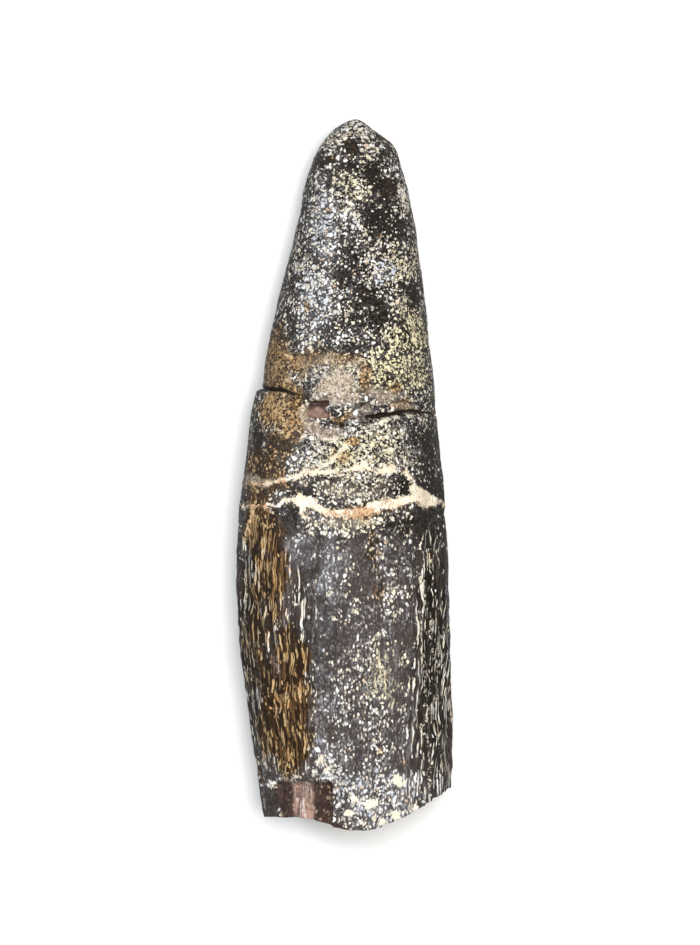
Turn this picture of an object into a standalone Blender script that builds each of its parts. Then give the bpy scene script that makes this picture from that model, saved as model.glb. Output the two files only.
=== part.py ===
"""A fossil diplodocid tooth: a slender peg-shaped crown with a broken root end, lying on its flatter face.

The tooth lies along Y with its tip towards +Y. Its rounder face is up, and a small flat spot below carries it.
Lengths are in millimetres up to the last step, which turns them into metres.
"""

import math

import bmesh
import bpy
import numpy as np
from mathutils import Vector, noise

METRES_PER_MM = 0.001

LENGTH = 38.0

# Distance from the tip, then where the left and the right side are across the tooth.
SIDES = (
    (0.0, 0.60, 0.60),
    (0.16, 0.05, 0.98),
    (0.64, -0.68, 1.58),
    (1.30, -1.28, 2.40),
    (3.2, -2.00, 3.12),
    (5.0, -2.32, 3.58),
    (7.1, -2.86, 3.88),
    (12.2, -4.08, 4.52),
    (17.3, -4.90, 5.05),
    (22.5, -5.37, 5.36),
    (27.6, -5.27, 5.53),
    (32.7, -4.62, 5.66),
    (38.0, -3.90, 5.60),
)

# The section is thinner than wide, and rounder above its widest line than below.
THICKNESS_PER_WIDTH = 0.80
SHARE_ABOVE = 0.55
ROUNDNESS_ABOVE = 2.15
ROUNDNESS_BELOW = 2.50

# The underside lies flat along the root. From there the tooth bends a little downwards to its tip.
TIP_HEIGHT = 2.7
TIP_SLOPE = 0.045
BEND_START = 8.0
BEND_END = 20.0
FLAT_SPOT_DEPTH = 0.12

# The crack that runs round the tooth: angle from the right side over the top, then distance from the tip.
CRACK_PATH = (
    (0, 15.85),
    (35, 15.60),
    (55, 15.74),
    (76, 15.86),
    (85, 15.72),
    (93, 16.25),
    (108, 15.60),
    (120, 14.92),
    (135, 14.56),
    (170, 14.43),
    (230, 14.75),
    (285, 15.10),
    (330, 15.60),
    (360, 15.85),
)
CRACK_DEPTH_ABOVE = 0.32
CRACK_DEPTH_BELOW = 0.14
CRACK_HALF_WIDTH = 0.12
CRACK_UNEVEN = 0.35
CRACK_UNEVEN_SPACING = 1.3
LOWER_LEFT_PROUD = 0.30

# Beside the crack is one small deep chip, the window, and a shallow scoop that ends on a curved line.
WINDOW_CENTRE = (-1.50, 15.65)
WINDOW_HALF_SIZE = (0.42, 0.36)
WINDOW_DEPTH = 0.36
WINDOW_EDGE = 0.15
SCOOP_END = ((-2.6, 16.2), (-2.4, 16.57), (-1.0, 16.9), (0.35, 17.4), (1.5, 16.3), (3.2, 15.95), (4.4, 15.9))
SCOOP_DEPTH = 0.30

# The chip at the lower left, where the enamel has come off the broken end.
ROOT_CHIP_LEFT = -3.85
ROOT_CHIP_RIGHT = -0.67
ROOT_CHIP_TOP = 35.4
ROOT_CHIP_DEPTH = 0.42
ROOT_CHIP_EDGE = 0.3

# The lower edge as seen from above: place across the tooth, then distance from the tip.
BREAK_EDGE = ((-4.3, 37.3), (-1.4, 37.5), (-0.6, 37.8), (0.8, 38.0), (2.2, 37.7), (3.8, 36.9), (5.6, 35.8))
BREAK_UNDERCUT = 1.4
BREAK_HOLLOW = 0.6
BREAK_ROUGHNESS = 0.28
BREAK_SPACING = 1.5
BREAK_RIM = 0.4

# Low relief of the enamel: broad swells, lumps, and wrinkles along the root half.
SWELL = 0.10
SWELL_SPACING = 4.5
LUMP = 0.075
LUMP_SPACING = 1.5
WRINKLE = 0.07
WRINKLES_ROUND = 26
WRINKLE_DRIFT = 0.35
WRINKLE_DRIFT_SPACING = 2.4
WRINKLE_STRETCH = 2.5
WRINKLE_FROM = 15.0
WRINKLE_FULL = 24.0
SMOOTH_TIP = 1.5

# The mesh has its rings closest together at the tip, the crack and the broken end, and they follow the last two.
AROUND = 80
CAP_RINGS = 7
GAP_MOST = 0.95
GAP_AT_TIP = 0.10
GAP_AT_CRACK = 0.13
GAP_AT_END = 0.25
GAP_GROWTH_AT_TIP = 0.45
GAP_GROWTH = 0.20
CRACK_FOLLOWED_OVER = 8.0
END_FOLLOWED_OVER = 10.0

ENAMEL_COLOUR = (0.085, 0.072, 0.062, 1.0)
ENAMEL_ROUGHNESS = 0.38
SHARP_ANGLE = math.radians(50)


def smooth_step(value):
    """0 below 0, 1 above 1, and an even curve between."""
    value = np.clip(value, 0.0, 1.0)
    return value * value * (3.0 - 2.0 * value)


def smooth_curve(points, at):
    """A smooth curve through points of place and value, read at other places."""
    places, values = np.array(points, float).T
    slopes = np.gradient(values, places)
    index = np.clip(np.searchsorted(places, at) - 1, 0, len(places) - 2)
    gap = places[index + 1] - places[index]
    t = np.clip((at - places[index]) / gap, 0.0, 1.0)
    value = values[index] * (1 + 2 * t) * (1 - t) ** 2 + values[index + 1] * t * t * (3 - 2 * t)
    bend = slopes[index] * t * (1 - t) ** 2 - slopes[index + 1] * t * t * (1 - t)
    return value + gap * bend


def noise_at(x, y, z, spacing, seed):
    """Even noise from -1 to 1 with lumps about as far apart as the spacing."""
    shift = Vector((17.3, 5.1, 11.9)) * seed
    points = zip(x.ravel(), y.ravel(), z.ravel())
    found = [noise.noise(Vector(point) / spacing + shift) for point in points]
    return np.array(found).reshape(x.shape)


def signed_power(value, power):
    return np.sign(value) * np.abs(value) ** power


def side_places(distance):
    """Where the left and the right side are. Reading them by the root of the distance rounds off the tip."""
    reach = np.sqrt(np.clip(distance, 0.0, None))
    left = smooth_curve([(math.sqrt(place), side) for place, side, _ in SIDES], reach)
    right = smooth_curve([(math.sqrt(place), side) for place, _, side in SIDES], reach)
    return left, right


def section(angle, distance):
    """The smooth tooth's surface: place across and height, then the same for the middle of the section."""
    left, right = side_places(distance)
    half_width = (right - left) / 2
    middle = (right + left) / 2
    thickness = 2 * half_width * THICKNESS_PER_WIDTH
    above = thickness * SHARE_ABOVE
    below = thickness - above
    lying = smooth_step((distance - BEND_START) / (BEND_END - BEND_START))
    bent = TIP_HEIGHT + TIP_SLOPE * distance
    centre = bent + (below - FLAT_SPOT_DEPTH - bent) * lying
    up = np.sin(angle) > 0
    power = np.where(up, 2 / ROUNDNESS_ABOVE, 2 / ROUNDNESS_BELOW)
    across = middle + half_width * signed_power(np.cos(angle), power)
    height = centre + np.where(up, above, below) * signed_power(np.sin(angle), power)
    return across, height, middle, centre


def crack_distance(angle):
    """How far below the tip the crack is, at each angle round the tooth."""
    path = [(math.radians(degrees), place) for degrees, place in CRACK_PATH]
    return smooth_curve(path, angle % math.tau)


def break_distance(across, height):
    """How far below the tip the broken end is: flush with its edge above, drawn back below, a little hollow."""
    left, right = SIDES[-1][1:]
    half_width = (right - left) / 2
    half_height = half_width * THICKNESS_PER_WIDTH
    undercut = BREAK_UNDERCUT * np.clip(1 - height / half_height, 0, 1)
    sideways = (across - (left + right) / 2) / half_width
    upwards = (height - half_height) / half_height
    inside = np.clip(1 - sideways**2 - upwards**2, 0, 1)
    rough = BREAK_ROUGHNESS * noise_at(across, height, 0 * across, BREAK_SPACING, 5)
    rough *= smooth_step(inside / BREAK_RIM)
    return smooth_curve(BREAK_EDGE, across) - undercut - BREAK_HOLLOW * inside + rough


def enamel_relief(angle, distance, across, height):
    """How far the unbroken enamel stands out from the smooth tooth."""
    along = LENGTH - distance
    swell = SWELL * noise_at(across, along, height, SWELL_SPACING, 1)
    lumps = LUMP * noise_at(across, along, height, LUMP_SPACING, 2)
    drift = noise_at(across, along / WRINKLE_STRETCH, height, WRINKLE_DRIFT_SPACING, 3)
    wrinkle = WRINKLE * np.sin(WRINKLES_ROUND * (angle + WRINKLE_DRIFT * drift))
    wrinkle *= smooth_step((distance - WRINKLE_FROM) / (WRINKLE_FULL - WRINKLE_FROM))
    return (swell + lumps + wrinkle) * smooth_step(distance / SMOOTH_TIP)


def crack_cut(angle, distance, across, height):
    """The depth of the open crack, which is wider and deeper above than below."""
    uneven = 1 + CRACK_UNEVEN * noise_at(across, 0 * across, height, CRACK_UNEVEN_SPACING, 4)
    above = smooth_step(0.5 + np.sin(angle))
    depth = CRACK_DEPTH_BELOW + (CRACK_DEPTH_ABOVE - CRACK_DEPTH_BELOW) * above
    place = (distance - crack_distance(angle)) / (CRACK_HALF_WIDTH * uneven)
    return depth * uneven * np.exp(-(place**2))


def scoop_cut(angle, distance, across):
    """The shallow chip below the crack, deepest at the crack."""
    crack = crack_distance(angle)
    reach = np.clip(smooth_curve(SCOOP_END, across) - crack, CRACK_HALF_WIDTH, None)
    depth = SCOOP_DEPTH * np.clip(1 - (distance - crack) / reach, 0, 1)
    inside = (across > SCOOP_END[0][0]) & (across < SCOOP_END[-1][0]) & (distance > crack)
    return np.where(inside, depth, 0)


def window_cut(distance, across):
    """The small chip with a flat floor beside the crack."""
    aside = np.abs(across - WINDOW_CENTRE[0]) - WINDOW_HALF_SIZE[0]
    beyond = np.abs(distance - WINDOW_CENTRE[1]) - WINDOW_HALF_SIZE[1]
    return WINDOW_DEPTH * smooth_step(1 - np.maximum(aside, beyond) / WINDOW_EDGE)


def root_chip_cut(distance, across):
    """The chip with a flat floor at the broken end."""
    from_edges = (across - ROOT_CHIP_LEFT, ROOT_CHIP_RIGHT - across, distance - ROOT_CHIP_TOP)
    return ROOT_CHIP_DEPTH * smooth_step(np.minimum.reduce(from_edges) / ROOT_CHIP_EDGE + 0.5)


def relief(angle, distance, across, height):
    """How far the real surface stands out from the smooth tooth, chips and crack included."""
    below_crack = smooth_step((distance - crack_distance(angle)) / CRACK_HALF_WIDTH + 0.5)
    proud = LOWER_LEFT_PROUD * np.clip(-np.cos(angle), 0, 1) * below_crack
    chips = (scoop_cut(angle, distance, across), window_cut(distance, across), root_chip_cut(distance, across))
    chipped = np.where(np.sin(angle) > 0, np.maximum.reduce(chips), 0)
    cut = np.maximum(chipped, crack_cut(angle, distance, across, height))
    return enamel_relief(angle, distance, across, height) + proud - cut


def wall_rings():
    """Distances from the tip at which the wall has a ring of points."""
    crack = crack_distance(math.pi).item()
    rings = [GAP_AT_TIP / 2]
    while rings[-1] < LENGTH:
        here = rings[-1]
        by_tip = GAP_AT_TIP + GAP_GROWTH_AT_TIP * here
        by_crack = GAP_AT_CRACK + GAP_GROWTH * abs(here - crack)
        by_end = GAP_AT_END + GAP_GROWTH * (LENGTH - here)
        rings.append(here + min(GAP_MOST, by_tip, by_crack, by_end))
    return np.array(rings[:-1]) * LENGTH / rings[-2]


def surface(angle, ring):
    """The point of the wall at each angle and ring: place across, place along and height."""
    crack_at_left = crack_distance(math.pi)
    near_crack = smooth_step(1 - np.abs(ring - crack_at_left) / CRACK_FOLLOWED_OVER)
    distance = ring + (crack_distance(angle) - crack_at_left) * near_crack
    across, height, _, _ = section(angle, distance)
    near_end = smooth_step(1 - (LENGTH - ring) / END_FOLLOWED_OVER)
    distance = distance + (break_distance(across, height) - LENGTH) * near_end
    across, height, middle, centre = section(angle, distance)
    outwards = np.stack([across - middle, height - centre])
    outwards = outwards / np.maximum(np.linalg.norm(outwards, axis=0), 1e-6)
    across, height = np.stack([across, height]) + relief(angle, distance, across, height) * outwards
    return across, LENGTH - distance, height


def tooth_points(ball):
    """Where each point of a round ball lies on the tooth: its rings become the wall, then the broken end."""
    rings = wall_rings()
    steps = len(rings) + CAP_RINGS + 1
    order = np.rint(np.arccos(np.clip(ball[:, 2], -1, 1)) / math.pi * steps).astype(int)
    angle = np.arctan2(ball[:, 1], ball[:, 0])
    across, along, height = surface(angle, rings[np.clip(order - 1, 0, len(rings) - 1)])

    inward = np.clip((steps - order) / (CAP_RINGS + 1), 0, 1)
    _, _, middle, centre = section(angle, np.full(len(ball), LENGTH))
    on_cap = order > len(rings)
    across = np.where(on_cap, middle + (across - middle) * inward, across)
    height = np.where(on_cap, centre + (height - centre) * inward, height)
    face = LENGTH - break_distance(across, height)
    along = np.where(on_cap, along + (face - along) * smooth_step(4 * (1 - inward)), along)

    tip_across, tip_height, _, _ = section(angle, np.zeros(len(ball)))
    at_tip = order == 0
    tip = np.stack([tip_across, np.full(len(ball), LENGTH), tip_height])
    points = np.where(at_tip, tip, np.stack([across, along, height])).T
    points[:, 2] = np.clip(points[:, 2], 0.0, None)
    middle_of_box = (points.min(axis=0) + points.max(axis=0)) / 2
    return points - middle_of_box * (1, 1, 0)


def shape_tooth(mesh):
    """Makes a round ball and moves its points onto the tooth."""
    steps = len(wall_rings()) + CAP_RINGS + 1
    bmesh.ops.create_uvsphere(mesh, u_segments=AROUND, v_segments=steps, radius=1)
    ball = np.array([vertex.co for vertex in mesh.verts])
    for vertex, point in zip(mesh.verts, tooth_points(ball)):
        vertex.co = Vector(point) * METRES_PER_MM
    bmesh.ops.recalc_face_normals(mesh, faces=mesh.faces)


def enamel_material():
    material = bpy.data.materials.new("dark_enamel")
    material.use_nodes = True
    shader = material.node_tree.nodes["Principled BSDF"]
    shader.inputs["Base Color"].default_value = ENAMEL_COLOUR
    shader.inputs["Roughness"].default_value = ENAMEL_ROUGHNESS
    shader.inputs["Metallic"].default_value = 0.0
    return material


def make_tooth(collection):
    mesh = bmesh.new()
    shape_tooth(mesh)
    data = bpy.data.meshes.new("tooth")
    mesh.to_mesh(data)
    mesh.free()
    data.shade_smooth()
    data.set_sharp_from_angle(angle=SHARP_ANGLE)
    data.materials.append(enamel_material())
    collection.objects.link(bpy.data.objects.new("tooth", data))


def main():
    for old in list(bpy.data.objects):
        bpy.data.objects.remove(old, do_unlink=True)
    collection = bpy.data.collections.new("fossil_tooth")
    bpy.context.scene.collection.children.link(collection)
    make_tooth(collection)


main()
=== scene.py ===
"""The looks of a fossil diplodocid tooth lying on its flatter face, seen from straight above.

The fossil's surface is worked out in millimetres, from the tip down, and then laid in the frame's own box.
"""

import math

import bpy
import numpy as np
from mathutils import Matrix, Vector, noise


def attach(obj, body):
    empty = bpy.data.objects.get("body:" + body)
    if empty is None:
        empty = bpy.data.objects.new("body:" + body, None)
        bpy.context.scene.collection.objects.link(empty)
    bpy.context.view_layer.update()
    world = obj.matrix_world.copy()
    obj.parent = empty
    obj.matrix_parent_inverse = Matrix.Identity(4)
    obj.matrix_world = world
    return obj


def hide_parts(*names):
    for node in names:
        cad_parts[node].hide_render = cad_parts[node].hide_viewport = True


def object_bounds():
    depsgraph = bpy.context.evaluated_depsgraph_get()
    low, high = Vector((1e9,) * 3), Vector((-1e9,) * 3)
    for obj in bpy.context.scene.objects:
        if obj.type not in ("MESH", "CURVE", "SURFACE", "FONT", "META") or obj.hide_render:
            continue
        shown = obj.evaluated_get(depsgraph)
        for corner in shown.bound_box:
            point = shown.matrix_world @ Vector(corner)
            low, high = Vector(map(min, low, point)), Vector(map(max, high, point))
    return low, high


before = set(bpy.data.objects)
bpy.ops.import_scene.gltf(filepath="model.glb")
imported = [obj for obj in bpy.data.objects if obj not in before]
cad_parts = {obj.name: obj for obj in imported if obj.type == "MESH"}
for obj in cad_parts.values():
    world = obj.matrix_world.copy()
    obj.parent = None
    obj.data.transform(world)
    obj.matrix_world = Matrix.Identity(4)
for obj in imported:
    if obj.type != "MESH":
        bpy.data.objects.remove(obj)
cad_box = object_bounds()

METRES_PER_MM = 0.001

LENGTH = 38.0

# Distance from the tip, then where the left and the right side are across the tooth.
SIDES = (
    (0.0, 0.6, 0.6), (0.16, 0.05, 0.98), (0.64, -0.68, 1.58), (1.3, -1.28, 2.4), (3.2, -2.0, 3.12),
    (5.0, -2.32, 3.58), (7.1, -2.86, 3.88), (12.2, -4.08, 4.52), (17.3, -4.9, 5.05), (22.5, -5.37, 5.36),
    (27.6, -5.27, 5.53), (32.7, -4.62, 5.66), (38.0, -3.9, 5.6),
)

# The section is thinner than wide, and rounder above its widest line than below.
THICKNESS_PER_WIDTH = 0.80
SHARE_ABOVE = 0.55
ROUNDNESS_ABOVE = 2.15
ROUNDNESS_BELOW = 2.50

# The underside lies flat along the root. From there the tooth bends a little downwards to its tip.
TIP_HEIGHT = 2.7
TIP_SLOPE = 0.045
BEND_START = 8.0
BEND_END = 20.0
FLAT_SPOT_DEPTH = 0.12

# The crack round the tooth: angle from the right side over the top, then distance from the tip.
CRACK_PATH = (
    (0, 15.85), (35, 15.68), (48, 15.61), (60, 15.78), (74, 15.93), (84, 15.98), (93, 16.35), (103, 15.98),
    (113, 15.6), (119, 14.95), (128, 14.7), (135, 14.56), (152, 14.48), (170, 14.43), (230, 14.75),
    (285, 15.1), (330, 15.6), (360, 15.85),
)
# How wide and deep the crack stands open, by the same angle.
CRACK_OPENING = (
    (0, 0.05, 0.12), (30, 0.07, 0.22), (44, 0.07, 0.26), (52, 0.07, 0.3), (60, 0.12, 0.4), (70, 0.15, 0.42),
    (78, 0.08, 0.22), (84, 0.05, 0.05), (93, 0.04, 0.03), (108, 0.04, 0.03), (117, 0.05, 0.08),
    (135, 0.1, 0.26), (155, 0.13, 0.3), (170, 0.13, 0.24), (180, 0.08, 0.14), (215, 0.06, 0.14),
    (320, 0.05, 0.14), (360, 0.05, 0.12),
)
LOWER_LEFT_PROUD = 0.30
STEP_WIDTH = 0.10

# Beside the crack is one small deep chip, the window, and a shallow scoop that ends on a curved line.
WINDOW_CENTRE = (-1.46, 15.55)
WINDOW_HALF_SIZE = (0.52, 0.42)
WINDOW_DEPTH = 0.45
WINDOW_EDGE = 0.09
# Its top part is painted darker, a painted shadow of the chip's upper wall.
WINDOW_SHADOW_PAINTED_ABOVE = 15.42
SCOOP_END = ((-2.6, 16.2), (-2.4, 16.57), (-1.0, 16.9), (0.35, 17.4), (1.5, 16.3), (3.2, 15.95), (4.4, 15.9))
SCOOP_DEPTH = 0.30

# The chip at the lower left, where the enamel has come off the broken end.
ROOT_CHIP_LEFT = -3.75
ROOT_CHIP_RIGHT = -0.67
ROOT_CHIP_TOP = 35.4
ROOT_CHIP_DEPTH = 0.42
ROOT_CHIP_EDGE = 0.12
ROOT_CHIP_FADE = 0.6
CHIP_FACET = 0.12
CHIP_FACET_SPACING = 0.55
# Its left half is ruddy and its right third is darker.
RUDDY_LEFT = -2.9
RUDDY_RIGHT = -1.85
RUDDY_FADE = 0.18
# Right of the chip, the enamel's lower edge is lost for a short way and the dentine shows.
BARE_EDGE = 0.28
BARE_EDGE_MIDDLE = -0.5
BARE_EDGE_REACH = 1.0
BARE_EDGE_FADE = 0.1

# The lower edge as seen from above: place across the tooth, then distance from the tip.
BREAK_EDGE = ((-4.3, 37.3), (-1.4, 37.5), (-0.6, 37.8), (0.8, 38.0), (2.2, 37.7), (3.8, 36.9), (5.6, 35.8))
BREAK_UNDERCUT = 1.4
BREAK_HOLLOW = 0.6
BREAK_ROUGHNESS = 0.28
BREAK_SPACING = 1.5
BREAK_RIM = 0.4
BREAK_GRIT = 0.07
BREAK_GRIT_SPACING = 0.45

# Relief of the enamel: broad swells, lumps and wrinkles along the root half, then folds that show close by.
SWELL = 0.10
SWELL_SPACING = 4.5
LUMP = 0.075
LUMP_SPACING = 1.5
WRINKLE = 0.07
WRINKLES_ROUND = 26
WRINKLE_DRIFT = 0.35
WRINKLE_DRIFT_SPACING = 2.4
WRINKLE_STRETCH = 2.5
WRINKLE_FROM = 15.0
WRINKLE_FULL = 24.0
SMOOTH_TIP = 1.5
FOLD_ON_CROWN = 0.030
FOLD_ON_ROOT = 0.055
FOLD_SPACING = 0.62
PEBBLE = 0.022
PEBBLE_SPACING = 0.36

# Patterns are drawn out along the tooth on the root: the flecks and folds a little, the fibres a lot.
GRAIN_STRETCH = 1.3
FOLD_STRETCH = 2.6
STREAK_STRETCH = 1.8
FIBRE_STRETCH = 22.0
STRETCH_FROM = 16.0
STRETCH_FULL = 26.0

# The mesh: points round the upper and the lower half, and the gaps between its rings.
AROUND_ABOVE = 168
AROUND_BELOW = 120
GAP_MOST = 0.128
GAP_AT_TIP = 0.035
GAP_AT_CRACK = 0.040
GAP_AT_END = 0.045
GAP_GROWTH = 0.075
CRACK_FOLLOWED_OVER = 8.0
END_FOLLOWED_OVER = 10.0
CAP_RINGS = 22
CAP_POWER = 1.25
FIRST_CAP_RING = 0.985

# Mineral-filled cracks: angle, distance from the tip, half width.
UPPER_VEIN = (
    (182, 19.5, 0.06), (173, 19.45, 0.11), (146, 19.48, 0.12), (134, 19.4, 0.14), (127, 19.3, 0.15),
    (118, 19.02, 0.15), (109, 18.9, 0.15), (99, 18.85, 0.16), (89, 18.8, 0.16), (84, 18.76, 0.19),
    (79, 18.66, 0.19), (70, 18.7, 0.18), (63, 18.66, 0.19), (57, 18.86, 0.17), (52, 19.05, 0.17),
    (47, 19.42, 0.17), (46, 19.9, 0.19),
)
LOWER_VEIN = (
    (196, 20.9, 0.05), (175, 20.75, 0.09), (152, 20.62, 0.13), (134, 20.56, 0.15), (123, 20.5, 0.16),
    (117, 20.42, 0.22), (111, 20.32, 0.32), (106, 20.58, 0.26), (102, 20.9, 0.2), (98, 21.08, 0.22),
    (93, 21.14, 0.28), (84, 20.98, 0.32), (75, 20.82, 0.31), (67, 20.62, 0.3), (59, 20.38, 0.28),
    (51, 20.28, 0.26), (44, 20.25, 0.34),
)
VEIN_LEG = ((114, 20.05, 0.24), (112, 20.5, 0.34), (112, 21.1, 0.2), (111, 21.65, 0.12))
VEIN_END = (
    (48, 19.7, 0.22), (45, 20.0, 0.46), (40, 20.2, 0.58), (35, 20.35, 0.52), (28, 20.5, 0.36),
    (18, 20.55, 0.16),
)
VEIN_BELOW = (
    (18, 20.55, 0.12), (-8, 20.6, 0.09), (-40, 21.3, 0.12), (-75, 20.6, 0.1), (-120, 21.2, 0.13),
    (-155, 20.7, 0.1), (-180, 19.55, 0.1),
)
VEINS = (UPPER_VEIN, LOWER_VEIN, VEIN_LEG, VEIN_END, VEIN_BELOW)
VEIN_RAISED = 0.035
STEPS_PER_POINT = 5

# Thin cream lines of mineral: along the scoop's edge, under the crack at the right, and down from both.
CREAM_LINES = (
    ((122, 16.55, 0.07), (111, 17.0, 0.08), (102, 17.1, 0.09), (93, 17.32, 0.1), (87, 17.32, 0.1)),
    (
        (87, 17.32, 0.1), (81, 17.0, 0.1), (76, 16.66, 0.1), (71, 16.24, 0.1), (64, 16.04, 0.1),
        (56, 15.88, 0.08),
    ),
    ((56, 15.88, 0.07), (46, 15.85, 0.07), (34, 16.0, 0.06), (14, 16.1, 0.05)),
    ((89, 17.4, 0.13), (95, 18.0, 0.16), (101, 18.6, 0.13)),
    ((80, 17.5, 0.06), (81, 18.1, 0.08), (80, 18.55, 0.1)),
    ((92, 18.95, 0.05), (92, 19.5, 0.07), (91, 20.1, 0.05)),
    ((78, 18.9, 0.05), (78, 19.3, 0.07), (79, 19.7, 0.05)),
    (
        (150, 20.7, 0.1), (154, 21.6, 0.13), (160, 22.6, 0.12), (163, 23.6, 0.09), (160, 25.0, 0.08),
        (161, 28.0, 0.08),
    ),
    ((152, 16.6, 0.05), (160, 17.6, 0.07), (156, 18.6, 0.08), (150, 19.5, 0.08)),
    (
        (46, 24.4, 0.05), (42, 25.6, 0.06), (45, 27.2, 0.05), (44, 29.4, 0.06), (43, 31.6, 0.07),
        (47, 32.5, 0.05),
    ),
    ((47, 32.5, 0.05), (44, 33.2, 0.06), (40, 34.3, 0.05), (40, 35.8, 0.05)),
    ((38, 26.0, 0.03), (35, 27.6, 0.05), (34, 29.4, 0.03)),
    ((31, 28.0, 0.03), (29, 29.5, 0.05), (30, 31.5, 0.03)),
    ((80, 35.2, 0.06), (79, 35.9, 0.08), (79, 37.0, 0.06)),
)
# Larger spots of cream mineral: across, distance from the tip, radius.
SPOTS = (
    (-0.3, 1.3, 0.13), (0.3, 4.6, 0.2), (0.0, 5.0, 0.16), (0.5, 5.2, 0.13), (-1.7, 4.3, 0.12),
    (2.85, 3.5, 0.13), (3.0, 3.9, 0.16), (3.15, 4.3, 0.17), (3.3, 4.7, 0.14), (2.0, 8.2, 0.14),
    (1.13, 18.49, 0.17), (1.75, 19.3, 0.11), (-1.6, 24.7, 0.1), (-2.6, 25.9, 0.1), (-0.8, 25.4, 0.12),
    (-0.5, 26.6, 0.15), (2.7, 25.35, 0.16), (3.05, 25.35, 0.12), (2.8, 25.05, 0.1), (2.55, 25.7, 0.09),
    (2.6, 26.5, 0.1), (3.1, 29.05, 0.1), (1.6, 33.3, 0.12), (4.9, 33.0, 0.13), (-1.25, 34.3, 0.2),
    (-1.0, 34.7, 0.17), (-1.5, 34.8, 0.15), (-0.7, 34.4, 0.13), (2.87, 35.3, 0.34), (1.45, 36.5, 0.32),
    (0.15, 37.0, 0.27), (0.45, 36.3, 0.17), (2.7, 37.1, 0.3), (3.65, 36.85, 0.24), (1.9, 37.5, 0.2),
    (0.9, 37.6, 0.16), (-3.95, 35.5, 0.18), (-2.6, 35.1, 0.1),
)

# The chance behind ragged edges, then how they are pushed twice, as the spacing and reach of each push.
DRIFT_SEED = 30
LINE_DRIFT = ((0.9, 0.22), (0.33, 0.11))
PATCH_DRIFT = ((1.6, 0.55), (0.5, 0.22))

# Patches on the upper face: across, distance from the tip, half size across, half size along, strength.
OCHRE_PATCHES = (
    (-3.6, 13.0, 0.7, 1.9, 0.95), (-2.3, 12.9, 1.6, 0.7, 0.62), (-0.6, 12.9, 1.5, 0.5, 0.42),
    (-2.8, 14.6, 0.8, 0.6, 0.7), (-3.5, 15.6, 1.3, 0.9, 0.95), (-2.9, 16.7, 0.5, 0.8, 0.9),
    (-3.5, 17.6, 0.4, 1.0, 0.85), (-4.5, 18.6, 0.8, 0.7, 0.9), (-3.6, 18.7, 0.6, 0.8, 0.9),
    (-3.9, 19.6, 1.2, 0.4, 0.7), (-4.7, 21.5, 0.7, 1.7, 1.0), (-3.9, 22.2, 0.6, 1.2, 0.9),
    (-3.7, 24.4, 0.8, 1.6, 0.75), (-4.5, 27.0, 1.0, 4.5, 0.52), (-2.7, 28.8, 0.8, 1.4, 1.0),
    (-3.1, 32.0, 1.3, 2.8, 0.95), (-4.3, 33.0, 0.4, 2.2, 0.55), (0.35, 1.2, 0.3, 0.5, 0.4),
    (-0.9, 2.5, 0.4, 0.2, 0.4), (2.2, 3.7, 0.3, 0.5, 0.38), (-0.2, 17.9, 0.8, 0.6, 0.36),
    (0.35, 16.95, 0.45, 0.26, 1.5), (1.1, 14.0, 0.35, 1.0, 0.66), (2.6, 14.2, 0.5, 0.4, 0.6),
    (3.0, 15.3, 0.6, 0.3, 0.5), (-0.2, 16.0, 0.45, 0.22, 0.8), (-1.9, 10.2, 0.22, 0.3, 0.48),
    (1.1, 20.95, 1.9, 0.35, 0.6), (1.3, 24.2, 0.7, 1.8, 0.28),
)
YELLOW_PATCHES = (
    (3.4, 11.6, 1.3, 1.7, 1.0), (2.6, 13.5, 2.0, 1.1, 1.0), (0.2, 13.2, 1.2, 0.5, 0.6),
    (3.2, 7.6, 0.7, 1.2, 0.6), (-0.2, 18.0, 1.1, 1.2, 0.9), (1.6, 17.6, 1.2, 1.2, 0.6),
    (0.9, 3.4, 1.4, 1.4, 0.5), (0.6, 22.2, 1.6, 1.0, 0.5), (0.6, 19.8, 2.4, 0.6, 0.35),
    (1.0, 24.5, 0.6, 2.4, 0.6), (2.4, 29.8, 1.0, 2.0, 0.7),
)
# Cream mineral. The two patches on the crown's left, 5.4 and 9.2 mm from the tip, also paint the soft sheen
# of the light there.
CREAM_PATCHES = (
    (-0.9, 1.3, 0.5, 0.8, 0.8), (0.6, 0.4, 1.2, 0.4, 0.8), (1.6, 1.6, 0.5, 0.9, 0.65),
    (0.2, 3.6, 0.9, 1.2, 0.68), (-0.9, 5.4, 1.1, 2.2, 0.55), (-1.7, 9.2, 1.3, 2.0, 0.45),
    (0.6, 6.4, 0.7, 1.4, 0.45), (2.3, 7.9, 1.2, 1.2, 0.8), (3.3, 11.5, 1.1, 1.5, 0.62),
    (2.4, 13.5, 2.2, 1.0, 0.62), (3.1, 4.2, 0.4, 1.1, 1.2), (-0.4, 17.8, 2.4, 1.2, 0.3),
    (1.7, 17.4, 1.4, 1.2, 0.45), (0.35, 16.95, 0.45, 0.26, 1.5), (-3.5, 15.6, 1.2, 0.9, 0.6),
    (-3.4, 13.2, 0.9, 1.4, 0.25), (0.0, 18.4, 1.8, 0.4, 0.8), (0.6, 19.7, 3.0, 0.8, 0.9),
    (0.4, 21.7, 2.6, 0.7, 1.05), (2.7, 25.4, 0.9, 1.2, 0.75), (0.3, 25.5, 0.6, 2.2, 0.4),
    (4.4, 23.0, 0.8, 1.0, 0.6), (1.4, 31.5, 2.2, 4.0, 0.5), (4.6, 30.5, 0.9, 5.5, 0.6),
    (-4.3, 21.3, 0.5, 1.0, 0.8), (1.2, 36.3, 2.6, 1.7, 1.2), (3.6, 35.9, 1.2, 0.9, 0.9),
    (-0.8, 34.9, 0.9, 0.9, 1.5), (-3.2, 34.9, 1.6, 0.6, 0.9), (-4.0, 34.4, 0.8, 0.9, 0.9),
)
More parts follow.
